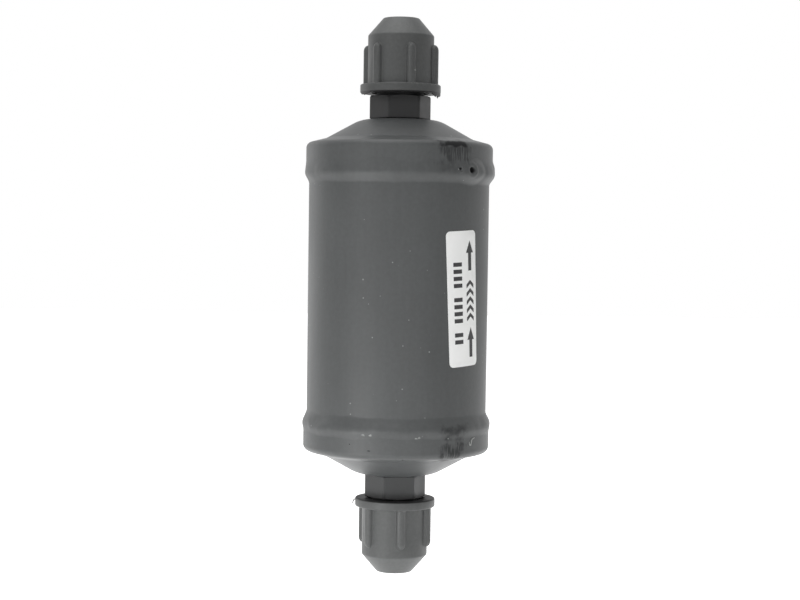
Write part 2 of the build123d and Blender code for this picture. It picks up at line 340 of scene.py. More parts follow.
def fine_thread(points, thickness, tip_share):
    """Thin round thread along a smooth curve through points, thinner at its ends, as a bmesh."""
    curve = bpy.data.curves.new("thread_line", "CURVE")
    curve.dimensions = "3D"
    curve.bevel_depth = thickness / 2
    curve.bevel_resolution = 3
    curve.use_fill_caps = True
    curve.resolution_u = 8
    line = curve.splines.new("NURBS")
    line.points.add(len(points) - 1)
    for i, (spot, point) in enumerate(zip(line.points, points)):
        spot.co = (*point, 1)
        spot.radius = tip_share if i in (0, len(points) - 1) else 1.0
    line.order_u = 3
    line.use_endpoint_u = True
    holder = place_object("thread_holder", curve)
    mesh = bpy.data.meshes.new_from_object(holder.evaluated_get(bpy.context.evaluated_depsgraph_get()))
    bm = bmesh.new()
    bm.from_mesh(mesh)
    bpy.data.meshes.remove(mesh)
    bpy.data.objects.remove(holder)
    bpy.data.curves.remove(curve)
    bmesh.ops.remove_doubles(bm, verts=bm.verts[:], dist=TINY)
    bmesh.ops.recalc_face_normals(bm, faces=bm.faces[:])
    return bm


def place_object(name, data):
    """New object in the scene, at the origin."""
    made = bpy.data.objects.new(name, data)
    bpy.context.scene.collection.objects.link(made)
    return made


def finish_piece(bm, name, body, material, crease=32):
    """Make a mesh object of the bmesh, ride it on its body and give it its material."""
    mesh = bpy.data.meshes.new(name)
    bm.to_mesh(mesh)
    bm.free()
    mesh.shade_smooth()
    mesh.set_sharp_from_angle(angle=radians(crease))
    piece = place_object(name, mesh)
    mesh.materials.append(material)
    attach(piece, body)
    return piece


def smooth_step(x):
    x = min(1, max(0, x))
    return x * x * (3 - 2 * x)


def around(vert):
    """Angle of a vertex round the can, from the front towards the right."""
    return atan2(vert.co.x, -vert.co.y)


def radius_of(vert):
    return hypot(vert.co.x, vert.co.y)


def widen(vert, factor):
    """Scale a vertex's distance from the axis."""
    vert.co.x *= factor
    vert.co.y *= factor


def push_out(vert, distance):
    """Move a vertex away from the axis."""
    widen(vert, 1 + distance / radius_of(vert))


# ---------------------------------------------------------------- weld beads


def bead(weld, top, crest_share, seed):
    """Bead of weld metal over the skirt's edge, with a soft crown that runs out flat at both sides."""
    toe_z = SKIRT_EDGE - weld.toe
    top_z = SKIRT_EDGE + top
    crown_r = SKIRT_R + weld.crest
    sink = 0.45 * MM
    points = 34
    corners = [(SHELL_R - sink, toe_z, 0)]
    for i in range(points + 1):
        along = i / points
        if along < crest_share:
            r = SHELL_R - 0.02 * MM + (crown_r - SHELL_R) * smooth_step(along / crest_share)
        else:
            fall = smooth_step((along - crest_share) / (1 - crest_share))
            r = crown_r - (weld.crest + 0.02 * MM) * fall
        corners.append((r, toe_z + (top_z - toe_z) * along, 0))
    corners.append((SKIRT_R - sink, top_z, 0))
    bm = outline(corners)
    turn_round(bm, weld.steps)
    for vert in bm.verts:
        phi = around(vert)
        along = min(1, max(0, (vert.co.z - toe_z) / (top_z - toe_z)))
        ring = Vector((sin(phi), cos(phi), seed))
        toe_wander = noise.noise(ring * 2.6) + 0.4 * noise.noise(ring * 7)
        top_wander = noise.noise(ring * 3.1 + Vector((4, 0, 0)))
        lump = (
            noise.noise(ring * 5 + Vector((0, 7, along)))
            + 0.4 * noise.noise(ring * 9 + Vector((0, 3, 2 * along)))
            + 0.12 * noise.noise(ring * 16 + Vector((0, 9, 4 * along)))
        )
        vert.co.z += weld.waver * (toe_wander * (1 - along) + top_wander * along)
        push_out(vert, weld.lumps * lump * sin(pi * along))
    return bm


def stop_swelling(bm, weld):
    """Swell the end of the weld run, and sink its crater and the pore beside it."""
    middle_z = SKIRT_EDGE + 0.5 * MM
    near = [
        v for v in bm.verts
        if abs(around(v) - weld.stop_angle) * SKIRT_R < 1.15 * weld.stop_length + 4 * MM
        and radius_of(v) > SHELL_R - 0.05 * MM
    ]
    chosen = set(near)
    edges = [e for e in bm.edges if e.verts[0] in chosen and e.verts[1] in chosen]
    bmesh.ops.subdivide_edges(bm, edges=edges, cuts=1, use_grid_fill=True)
    for vert in bm.verts:
        phi = around(vert)
        r = radius_of(vert)
        if r < SHELL_R - 0.05 * MM or abs(phi - weld.stop_angle) > 1.1:
            continue
        out = (phi - weld.stop_angle) * SKIRT_R / weld.stop_length
        up = (vert.co.z - middle_z) / weld.stop_height
        dome = 1 - smooth_step((hypot(out, up) - 0.5) / 0.6)
        past = phi - weld.stop_angle
        tail = smooth_step(past / 0.3) * (1 - smooth_step((past - 0.7) / 0.35))
        tail *= 1 - smooth_step((abs(up) - 0.3) / 0.7)
        push_out(vert, hypot(weld.stop_swell * dome, weld.tail_swell * tail))
        for place, radius, depth, height in (
            (weld.pit_angle, weld.pit_radius, weld.pit_depth, SKIRT_EDGE + weld.pit_rise),
            (weld.pore_angle, weld.pore_radius, 0.5 * weld.pit_depth, SKIRT_EDGE + weld.pore_rise),
        ):
            away = hypot((phi - place) * SKIRT_R, vert.co.z - height) / radius
            lip = 0.14 * MM * (1 - smooth_step(abs(away - 1.9) / 0.9))
            hole = depth * (1 - smooth_step((away - 0.3) / 0.9))
            push_out(vert, lip - hole)


class DRIER_OT_weld_beads(Operator):
    """Lay the two weld beads that join the end caps to the shell"""

    bl_idname = "drier.weld_beads"
    bl_label = "Weld beads"

    def execute(self, context):
        weld = context.scene.drier_weld
        coat = powder_coat("can_coat_bead")
        outlet = bead(weld, weld.outlet_top, 0.44, 1.7)
        stop_swelling(outlet, weld)
        piece = finish_piece(outlet, "outlet_bead_run", "drier_body", coat, crease=80)
        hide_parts("outlet_weld_bead")
        inlet = bead(weld, weld.inlet_top, 0.62, 5.3)
        turn_over(inlet)
        piece = finish_piece(inlet, "inlet_bead_run", "drier_body", coat, crease=80)
        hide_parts("inlet_weld_bead")
        return {"FINISHED"}


# ---------------------------------------------------------------- flare fittings


def fitting_body(fit):
    """Fitting turned in one piece with its hexagon, bored through."""
    hex_face = DOME_TOP + fit.hex_length
    root_r = fit.thread_radius - THREAD_DEPTH * fit.thread_pitch
    nose_root = STUB_END - (fit.nose_root_radius - fit.nose_tip_radius)
    hex_r = fit.hex_flats / 2
    skirt = 0.35 * MM
    corners = [
        (fit.bore_radius, SPIGOT_END, 0.2 * MM),
        (fit.spigot_radius, SPIGOT_END, 0.2 * MM),
        (fit.spigot_radius, DOME_TOP, 0),
        (hex_r - skirt, DOME_TOP, 0),
        (hex_r, DOME_TOP + skirt, 0),
        (hex_r, hex_face, 0),
        (fit.hex_face_radius, hex_face, 0),
        (fit.relief_radius, hex_face, 0.15 * MM),
        (fit.relief_radius, hex_face + fit.relief_length, 0),
        (root_r, hex_face + fit.relief_length + 0.05 * MM, 0),
        (root_r, nose_root - 0.3 * MM, 0),
        (fit.nose_root_radius, nose_root, 0.1 * MM),
        (fit.nose_tip_radius, STUB_END, 0.25 * MM),
        (fit.bore_radius, STUB_END, 0.3 * MM),
    ]
    bm = outline(corners, segments=3)
    turn_round(bm, fit.steps)
    for vert in bm.verts:
        r = radius_of(vert)
        if r < hex_r - 1.2 * skirt or vert.co.z > hex_face + TINY:
            continue
        off_flat = (atan2(vert.co.y, vert.co.x) + TURN) % (TURN / 6) - TURN / 12
        blunt = 0.004 * smooth_step((abs(off_flat) - radians(28.5)) / radians(1.5))
        widen(vert, (1 - blunt) / cos(off_flat))
        if vert.co.z > hex_face - TINY and r > hex_r - TINY:
            vert.co.z = hex_face - (radius_of(vert) - fit.hex_face_radius) * tan(fit.hex_chamfer)
    return bm


def ridge_start(fit):
    """Height of the middle of the stub's first ridge."""
    return DOME_TOP + fit.hex_length + fit.relief_length + THREAD_LEAD * fit.thread_pitch


def fitting_thread(fit):
    """Unified thread ridge on the stub."""
    start = ridge_start(fit)
    end = STUB_END - (fit.nose_root_radius - fit.nose_tip_radius) - 0.75 * MM
    depth = THREAD_DEPTH * fit.thread_pitch + THREAD_SINK
    crest_half = fit.thread_pitch / 16
    return thread_ridge(
        fit.thread_radius - depth, crest_half + depth * FLANK, fit.thread_radius, crest_half,
        start, fit.thread_pitch, (end - start) / fit.thread_pitch, 0,
    )


class DRIER_OT_flare_fittings(Operator):
    """Make both flare fittings, each with its hexagon, thread and sealing cone"""

    bl_idname = "drier.flare_fittings"
    bl_label = "Flare fittings"

    def execute(self, context):
        fit = context.scene.drier_fitting
        look = context.scene.drier_finish
        # The outlet fitting gets the darker tone, which is painted shade under its cap.
        for end, tone in (("outlet", look.hexagon), ("inlet", look.inlet_hexagon)):
            metal = fitting_coat(end, tone)
            over = end == "inlet"
            bm = fitting_body(fit)
            turn_about(bm, -(FRONT + fit.hex_turn) if over else FRONT + fit.hex_turn)
            join(bm, fitting_thread(fit))
            if over:
                turn_over(bm)
            name = f"{end}_threaded_fitting"
            piece = finish_piece(bm, name, "drier_body", metal, crease=25)
            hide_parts(f"{end}_flare_fitting")
        return {"FINISHED"}


# ---------------------------------------------------------------- sealing caps


# Slivers of flash on the outlet cap: start and sweep in degrees, drop in millimetres, and a seed.
CAP_FLASHES = ((-78, 30, 0.9, 2.0), (50, 34, 1.5, 8.0))


def rib_height(cap, away):
    """How far a half-round rib and the fillet at its foot stand out, that far from its middle."""
    centre_out = cap.rib_stand
    fillet = cap.rib_fillet
    foot = sqrt((cap.rib_radius + fillet) ** 2 - (fillet - centre_out) ** 2)
    join_at = foot * cap.rib_radius / (cap.rib_radius + fillet)
    if away < join_at:
        return centre_out + sqrt(cap.rib_radius**2 - away**2)
    if away < foot:
        return fillet - sqrt(fillet**2 - (foot - away) ** 2)
    return 0.0


def cap_skin(cap):
    """Moulded cap, drawn from its rim upwards: flange, ribbed body, tapered tip, bore and roof."""
    cone_base = cap.flange_thickness + cap.body_length
    rib_end = cone_base - cap.rib_end_drop
    end_stretch = 1.3
    rib_straight = rib_end - cap.rib_radius * end_stretch
    rib_clear = rib_straight + (cap.rib_radius + cap.rib_fillet) * end_stretch
    mouth_r = cap.bore_radius + cap.mouth_step
    corners = [
        (mouth_r, 0, 0.15 * MM),
        (FLANGE_R, 0, cap.flange_round),
        (FLANGE_R, cap.flange_thickness, cap.flange_round),
        (cap.body_radius, cap.flange_thickness, 0.3 * MM),
        (cap.body_radius, rib_straight, 0),
        (cap.body_radius, rib_clear, 0),
        (cap.body_radius, cone_base, cap.tip_round),
        (cap.tip_radius, CAP_HEIGHT, cap.tip_round),
        (0, CAP_HEIGHT, 0),
        (0, cap.roof_height, 0),
        (cap.roof_radius, cap.roof_height, 0),
        (cap.bore_radius, cap.roof_height - (cap.bore_radius - cap.roof_radius), 0),
        (cap.bore_radius, cap.mouth_depth + cap.mouth_step, 0),
        (mouth_r, cap.mouth_depth, 0),
    ]
    bm = outline(corners)
    refine(bm, rib_straight, rib_clear, 18)
    turn_round(bm, cap.steps)
    sector = TURN / cap.rib_count
    for vert in bm.verts:
        r = radius_of(vert)
        phi = around(vert)
        on_body = cap.body_radius - 0.4 * MM < r < cap.body_radius + 0.35 * MM
        if on_body and vert.co.z < rib_clear + TINY:
            off = abs((phi + sector / 2) % sector - sector / 2) * r
            up = max(0, vert.co.z - rib_straight) / end_stretch
            push_out(vert, rib_height(cap, hypot(off, up)))
        elif r > FLANGE_R - 0.5 * MM and vert.co.z < cap.flange_thickness + TINY:
            rag = noise.noise(Vector((sin(phi), cos(phi), 40 * vert.co.z)) * 6)
            push_out(vert, 0.004 * MM * (rag - 0.5))
            vert.co.z += 0.015 * MM * rag
    return bm


def cap_thread(cap, fit, rim):
    """Ridge inside the cap that runs in the fitting's groove."""
    pitch = fit.thread_pitch
    first = rim + cap.mouth_depth + cap.mouth_step + 0.6 * pitch
    turns_up = (first - ridge_start(fit)) / pitch - 0.5
    turns = (cap.roof_height - 4.6 * MM - (first - rim)) / pitch
    crest_r = fit.thread_radius - THREAD_DEPTH * pitch + cap.play

    def half(r):
        return pitch / 2 - (pitch / 16 + (fit.thread_radius - r) * FLANK) - cap.play

    foot_r = cap.bore_radius + THREAD_SINK
    return thread_ridge(
        foot_r, half(foot_r), crest_r, half(crest_r), first - rim, pitch, turns, turns_up % 1 * TURN
    )


def flash(start, sweep, drop, seed):
    """Sliver of moulding flash that hangs from the flange's rim, thin and torn along its edge."""
    bm = outline([
        (FLANGE_R - 0.42 * MM, 0.5 * MM, 0),
        (FLANGE_R - 0.1 * MM, 0.5 * MM, 0),
        (FLANGE_R - 0.02 * MM, -drop, 0),
        (FLANGE_R - 0.2 * MM, -drop, 0),
    ])
    bmesh.ops.delete(bm, geom=bm.faces[:], context="FACES_ONLY")
    spin(bm, bm.verts[:] + bm.edges[:], sweep, 26)
    bmesh.ops.holes_fill(bm, edges=[e for e in bm.edges if e.is_boundary], sides=0)
    for vert in bm.verts:
        along = atan2(vert.co.y, vert.co.x) % TURN / sweep
        if vert.co.z < 0:
            torn = 0.75 + 0.5 * noise.noise(Vector((along * 9, seed, 0)))
            vert.co.z *= sin(pi * min(1, max(0, along))) ** 0.5 * torn
    bmesh.ops.recalc_face_normals(bm, faces=bm.faces[:])
    turn_about(bm, FRONT + start)
    return bm


def torn_hair():
    """Line of the hair of plastic that curls off the inlet cap's rim, at its left."""
    hair = [(-0.35, -0.1, 0.5), (0.1, 0.0, 0.45), (0.5, 0.1, 0.8), (0.75, 0.1, 1.4), (0.85, 0.1, 1.9)]
    spin = Matrix.Rotation(radians(172), 3, "Z")
    return [spin @ Vector((FLANGE_R + out * MM, side * MM, up * MM)) for out, side, up in hair]


class DRIER_OT_sealing_caps(Operator):
    """Make both sealing caps with their ribs, inner threads and moulding flash"""

    bl_idname = "drier.sealing_caps"
    bl_label = "Sealing caps"

    def execute(self, context):
        cap = context.scene.drier_cap
        fit = context.scene.drier_fitting
        ends = (("outlet", OUTLET_RIM, cap.outlet_turn), ("inlet", INLET_RIM, -cap.inlet_turn))
        for end, rim, turn in ends:
            bm = cap_skin(cap)
            turn_about(bm, turn)
            join(bm, cap_thread(cap, fit, rim))
            if end == "outlet":
                for start, sweep, drop, seed in CAP_FLASHES:
                    join(bm, flash(radians(start), radians(sweep), drop * MM, seed))
            else:
                join(bm, fine_thread(torn_hair(), 0.32 * MM, 0.5))
            bmesh.ops.translate(bm, verts=bm.verts[:], vec=(0, 0, rim))
            if end == "inlet":
                turn_over(bm)
            plastic = cap_plastic(f"{end}_cap_plastic", end)
            name, body = f"{end}_moulded_cap", f"{end}_cap_body"
            piece = finish_piece(bm, name, body, plastic, crease=50)
            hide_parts(f"{end}_sealing_cap")
        return {"FINISHED"}


# ---------------------------------------------------------------- label and its print


def arrow(middle, low, high, label):
    """Upright arrow as corners in the label's plane."""
    shaft = label.shaft_width / 2
    wing = label.arrow_width / 2
    neck = high - label.arrow_head
    return [
        (middle - shaft, low), (middle + shaft, low), (middle + shaft, neck), (middle + wing, neck),
        (middle, high), (middle - wing, neck), (middle - shaft, neck),
    ]


def chevron(middle, low, width, thickness):
    """Upright chevron that fills the column between the arrows."""
    half = width / 2
    rise = 0.8 * half
    return [
        (middle - half, low), (middle, low + rise), (middle + half, low),
        (middle + half, low + thickness), (middle, low + rise + thickness), (middle - half, low + thickness),
    ]


def bar(middle, low, width, thickness):
    half = width / 2
    return [
        (middle - half, low), (middle + half, low),
        (middle + half, low + thickness), (middle - half, low + thickness),
    ]


def print_shapes(label):
    """Generic marks of the flow label: two arrows, a run of chevrons and a row of bars."""
    column = label.arrow_column
    shapes = [arrow(column, 8.1 * MM, 16.9 * MM, label), arrow(column, -17.2 * MM, -8.5 * MM, label)]
    shapes += [chevron(column, (-6.7 + 2.4 * i) * MM, 3.3 * MM, 1.15 * MM) for i in range(5)]
    cell = 2.05 * MM
    filled = (0, 1, 3, 4, 5, 6, 8, 9, 10, 11)
    shapes += [bar(label.mark_column, -13.1 * MM + i * cell, 3.3 * MM, 1.2 * MM) for i in filled]
    return shapes


def wrap_on_label(point, label):
    """Place of a point of the label's plane on the label's face."""
    across, up = point.x, point.z
    lean = -label.lean
    u = across * cos(lean) + up * sin(lean)
    v = up * cos(lean) - across * sin(lean)
    return u, v + label.rise


class DRIER_OT_flow_label(Operator):
    """Finish the white flow label and print its generic arrows and bars"""

    bl_idname = "drier.flow_label"
    bl_label = "Flow label"

    def execute(self, context):
        label = context.scene.drier_label
        paint("flow_label", label_film())
        bm = bmesh.new()
        for corners in print_shapes(label):
            bm.faces.new([bm.verts.new((u, 0, v)) for u, v in corners])
        step = 0.6 * MM
        for i in range(-10, 11):
            everything = bm.verts[:] + bm.edges[:] + bm.faces[:]
            bmesh.ops.bisect_plane(bm, geom=everything, plane_co=(i * step, 0, 0), plane_no=(1, 0, 0))
        r = SHELL_R + FILM + label.ink_lift
        for vert in bm.verts:
            u, v = wrap_on_label(vert.co, label)
            phi = label.angle + u / SHELL_R
            vert.co = Vector((r * sin(phi), -r * cos(phi), v))
        bmesh.ops.recalc_face_normals(bm, faces=bm.faces[:])
        outward = sum(f.normal.dot(Vector((sin(label.angle), -cos(label.angle), 0))) for f in bm.faces)
        if outward < 0:
            bmesh.ops.reverse_faces(bm, faces=bm.faces[:])
        bmesh.ops.solidify(bm, geom=bm.faces[:], thickness=label.ink_lift)
        finish_piece(bm, "flow_label_print", "drier_body", label_ink(), crease=40)
        return {"FINISHED"}


# ---------------------------------------------------------------- paint run on the inlet skirt


def on_skirt(across, up, place, height, lift=0.0):
    """Point on the skirt, across and up in metres from a place on it."""
    phi = place + across / SKIRT_R
    r = SKIRT_R + lift
    return r * sin(phi), -r * cos(phi), height + up


class DRIER_OT_paint_run(Operator):
    """Add the hooked run of dried coat on the inlet skirt"""

    bl_idname = "drier.paint_run"
    bl_label = "Paint run"

    def execute(self, context):
        hook = [
            (-0.55, 0.95), (-0.5, 0.35), (-0.3, -0.05), (0.05, -0.05), (0.3, 0.4),
            (0.35, 1.0), (0.65, 1.6), (1.3, 1.85), (2.2, 1.95),
        ]
        points = [on_skirt(x * MM, z * MM, radians(51.6), -42.3 * MM, 0.02 * MM) for x, z in hook]
        piece = fine_thread(points, 0.42 * MM, 0.3)
        finish_piece(piece, "paint_run", "drier_body", dried_run_painted_highlight(), crease=80)
        return {"FINISHED"}


# ---------------------------------------------------------------- shader tools


def node(tree, kind, inputs=None, **settings):
    """Add a shader node with its settings, and give its inputs values or links."""
    made = tree.nodes.new("ShaderNode" + kind)
    for name, value in settings.items():
        setattr(made, name, value)
    for name, value in (inputs or {}).items():
        socket = made.inputs[name]
        if isinstance(value, bpy.types.NodeSocket):
            tree.links.new(value, socket)
        elif socket.type == "RGBA" and len(value) == 3:
            socket.default_value = (*value, 1)
        else:
            socket.default_value = value
    return made


def math(tree, operation, a, b=0.0, clamp=False):
    return node(tree, "Math", {0: a, 1: b}, operation=operation, use_clamp=clamp).outputs[0]


def times(tree, a, b):
    return math(tree, "MULTIPLY", a, b)


def over(tree, a, b):
    return math(tree, "DIVIDE", a, b)


def plus(tree, a, b):
    return math(tree, "ADD", a, b)


def minus(tree, a, b):
    return math(tree, "SUBTRACT", a, b)


def larger(tree, a, b):
    return math(tree, "MAXIMUM", a, b)


def absolute(tree, a):
    return math(tree, "ABSOLUTE", a)


def fade(tree, value, start, end, low=0.0, high=1.0):
    """Smooth step of a value from low to high."""
    made = node(
        tree, "MapRange",
        {"Value": value, "From Min": start, "From Max": end, "To Min": low, "To Max": high},
        interpolation_type="SMOOTHSTEP",
    )
    return made.outputs["Result"]


def mix(tree, factor, a, b, blend="MIX"):
    """Mix of two colours."""
    made = node(tree, "Mix", {0: factor, 6: a, 7: b}, data_type="RGBA", blend_type=blend)
    return made.outputs[2]


def tint(tree, mix_colour, factor):
    """Colour made lighter or darker by a factor."""
    made = node(tree, "VectorMath", {0: mix_colour, "Scale": factor}, operation="SCALE")
    return made.outputs[0]


def group(name, inputs, outputs):
    """New node group with float, vector and colour sockets; returns it with its input node's sockets."""
    tree = bpy.data.node_groups.new(name, "ShaderNodeTree")
    for socket, kind, default in inputs:
        made = tree.interface.new_socket(socket, in_out="INPUT", socket_type="NodeSocket" + kind)
        if default is not None:
            made.default_value = default
    for socket, kind in outputs:
        tree.interface.new_socket(socket, in_out="OUTPUT", socket_type="NodeSocket" + kind)
    given = tree.nodes.new("NodeGroupInput").outputs
    result = tree.nodes.new("NodeGroupOutput").inputs
    return tree, given, result


def use_group(tree, name, inputs=None):
    made = tree.nodes.new("ShaderNodeGroup")
    made.node_tree = bpy.data.node_groups[name]
    for socket, value in (inputs or {}).items():
        if isinstance(value, bpy.types.NodeSocket):
            tree.links.new(value, made.inputs[socket])
        else:
            made.inputs[socket].default_value = value
    return made.outputs


def grain(tree, scale, detail=3.0, stretch=1.0, contrast=1.0):
    """Cloudy value between 0 and 1."""
    inputs = {"Scale": scale, "Stretch": stretch, "Detail": detail, "Contrast": contrast}
    return use_group(tree, "grain", inputs)["Value"]


def patch_of(tree, angle_at, height, half_width, half_height, softness, shape):
    """Soft patch on the can, torn (Mask) or oval (Round)."""
    inputs = {
        "Angle": angle_at, "Height": height, "Half Width": half_width, "Half Height": half_height,
        "Softness": softness,
    }
    return use_group(tree, "patch", inputs)[shape]


def specks_of(tree, cells, held, size):
    return use_group(tree, "specks", {"Cells": cells, "Share": held, "Size": size})["Mask"]


def place_group():
    """Angle round the can in degrees from the front, height and radius in millimetres."""
    results = [("Angle", "Float"), ("Height", "Float"), ("Radius", "Float")]
    tree, _, result = group("place_on_can", [], results)
    xyz = node(tree, "SeparateXYZ", {0: node(tree, "TexCoord").outputs["Object"]}).outputs
    front = times(tree, xyz["Y"], -1.0)
    around_can = math(tree, "ARCTAN2", xyz["X"], front)
    tree.links.new(times(tree, around_can, 180 / pi), result["Angle"])
    tree.links.new(times(tree, xyz["Z"], 1000.0), result["Height"])
    flat = node(tree, "CombineXYZ", {"X": xyz["X"], "Y": xyz["Y"]}).outputs[0]
    away = node(tree, "VectorMath", {0: flat}, operation="LENGTH").outputs["Value"]
    tree.links.new(times(tree, away, 1000.0), result["Radius"])


def patch_group():
    """Masks of a soft-edged patch, torn and oval, by angle in degrees and height in millimetres."""
    tree, given, result = group(
        "patch",
        [("Angle", "Float", 0.0), ("Height", "Float", 0.0), ("Half Width", "Float", 10.0),
         ("Half Height", "Float", 5.0), ("Softness", "Float", 0.3)],
        [("Mask", "Float"), ("Round", "Float")],
    )
    place = use_group(tree, "place_on_can")
    across = over(tree, minus(tree, place["Angle"], given["Angle"]), given["Half Width"])
    up = over(tree, minus(tree, place["Height"], given["Height"]), given["Half Height"])
    torn = grain(tree, 420.0, detail=3.0, contrast=1.6)
    far = larger(tree, absolute(tree, across), absolute(tree, up))
    far = plus(tree, far, times(tree, minus(tree, torn, 0.5), 1.1))
    start = minus(tree, 1.0, given["Softness"])
    tree.links.new(fade(tree, far, 1.0, start), result["Mask"])
    flat = node(tree, "CombineXYZ", {"X": across, "Y": up}).outputs[0]
    reach = node(tree, "VectorMath", {0: flat}, operation="LENGTH").outputs["Value"]
    tree.links.new(fade(tree, reach, 1.0, start), result["Round"])


def speck_group():
    """Mask of scattered specks: so many cells a metre, a share of them holding one speck of up to a size."""
    tree, given, result = group(
        "specks",
        [("Cells", "Float", 250.0), ("Share", "Float", 0.1), ("Size", "Float", 0.1)],
        [("Mask", "Float")],
    )
    point = node(tree, "TexCoord").outputs["Object"]
    cells = node(tree, "TexVoronoi", {"Vector": point, "Scale": given["Cells"]}, feature="F1").outputs
    chance = node(tree, "SeparateColor", {0: cells["Color"]}).outputs
    held = math(tree, "LESS_THAN", chance[0], given["Share"])
    reach = times(tree, given["Size"], chance[1])
    dot = fade(tree, over(tree, cells["Distance"], reach), 1.0, 0.5)
    tree.links.new(times(tree, held, dot), result["Mask"])


def grain_group():
    """Cloudy variation, stretched along Z by a factor, between 0 and 1."""
    inputs = [("Scale", 100.0), ("Stretch", 1.0), ("Detail", 3.0), ("Contrast", 1.0)]
    inputs = [(name, "Float", value) for name, value in inputs]
    tree, given, result = group("grain", inputs, [("Value", "Float")])
    xyz = node(tree, "SeparateXYZ", {0: node(tree, "TexCoord").outputs["Object"]}).outputs
    drawn = over(tree, xyz["Z"], given["Stretch"])
    point = node(tree, "CombineXYZ", {"X": xyz["X"], "Y": xyz["Y"], "Z": drawn}).outputs[0]
    noise = {"Vector": point, "Scale": given["Scale"], "Detail": given["Detail"]}
    cloud = node(tree, "TexNoise", noise).outputs[0]
    spread = times(tree, minus(tree, cloud, 0.5), given["Contrast"])
    tree.links.new(math(tree, "ADD", spread, 0.5, clamp=True), result["Value"])


def streak_group():
    """Mask of fine strokes that run along the can."""
    inputs = [("Pitch", "Float", 1.0), ("Run", "Float", 0.1), ("Fill", "Float", 0.5)]
    tree, given, result = group("strokes", inputs, [("Mask", "Float")])
    place = use_group(tree, "place_on_can")
    turn = times(tree, place["Angle"], given["Pitch"])
    run = times(tree, place["Height"], given["Run"])
    point = node(tree, "CombineXYZ", {"X": turn, "Y": run}).outputs[0]
    cloud = node(tree, "TexNoise", {"Vector": point, "Scale": 1.0, "Detail": 3.0}).outputs[0]
    edge = minus(tree, 1.0, given["Fill"])
    tree.links.new(fade(tree, cloud, edge, plus(tree, edge, 0.12)), result["Mask"])


def make_groups():
    place_group()
    grain_group()
    patch_group()
    speck_group()
    streak_group()


def new_material(name):
    """New material; returns it with its tree and its shader."""
    made = bpy.data.materials.new(name)
    made.use_nodes = True
    tree = made.node_tree
    tree.nodes.clear()
    shader = node(tree, "BsdfPrincipled")
    output = node(tree, "OutputMaterial")
    tree.links.new(shader.outputs[0], output.inputs["Surface"])
    return made, tree, shader


def bump(tree, shader, height, strength, distance):
    made = node(tree, "Bump", {"Height": height, "Strength": strength, "Distance": distance})
    tree.links.new(made.outputs[0], shader.inputs["Normal"])


def link(tree, value, shader, socket):
    tree.links.new(value, shader.inputs[socket])


# ---------------------------------------------------------------- finishes


# Marks of the coat: angle in degrees, height in millimetres, then half the width and half the height.
# Rubbed patches, each with its softness, its strength and its kind of strokes.
COAT_RUBS = (
    (34.5, 45.2, 16.0, 1.2, 0.7, 0.85, "dense"),
    (35.5, 42.6, 16.0, 4.4, 0.7, 0.55, "streaks"),
    # This row darkens the coat round the crater and the pore.
    (33.0, 39.2, 12.0, 3.4, 0.9, 0.3, "dense"),
    (37.0, -38.6, 12.0, 3.0, 0.9, 0.6, "dense"),
    (36.5, -44.0, 12.0, 3.6, 0.7, 0.6, "streaks"),
    (35.0, -46.6, 12.5, 1.1, 0.8, 0.7, "dense"),
)
# The crater, the pore and three nicks, each darkened as painted shade in its hollow.
COAT_PITS = (
    (47.2, 37.8, 3.1, 1.15), (38.9, 38.1, 0.95, 0.4), (-28.4, -41.8, 0.5, 0.24),
    (-16.0, -43.4, 1.3, 0.19), (4.4, -45.9, 0.6, 0.19),
)
# Painted glints: two patches of pale specks on the lower bead, and the lit lip of the pore.
COAT_PAINTED_GLINTS = ((-15.0, -38.6, 7.5, 0.9), (12.8, -39.1, 4.0, 0.9), (37.4, 38.1, 0.9, 0.6))


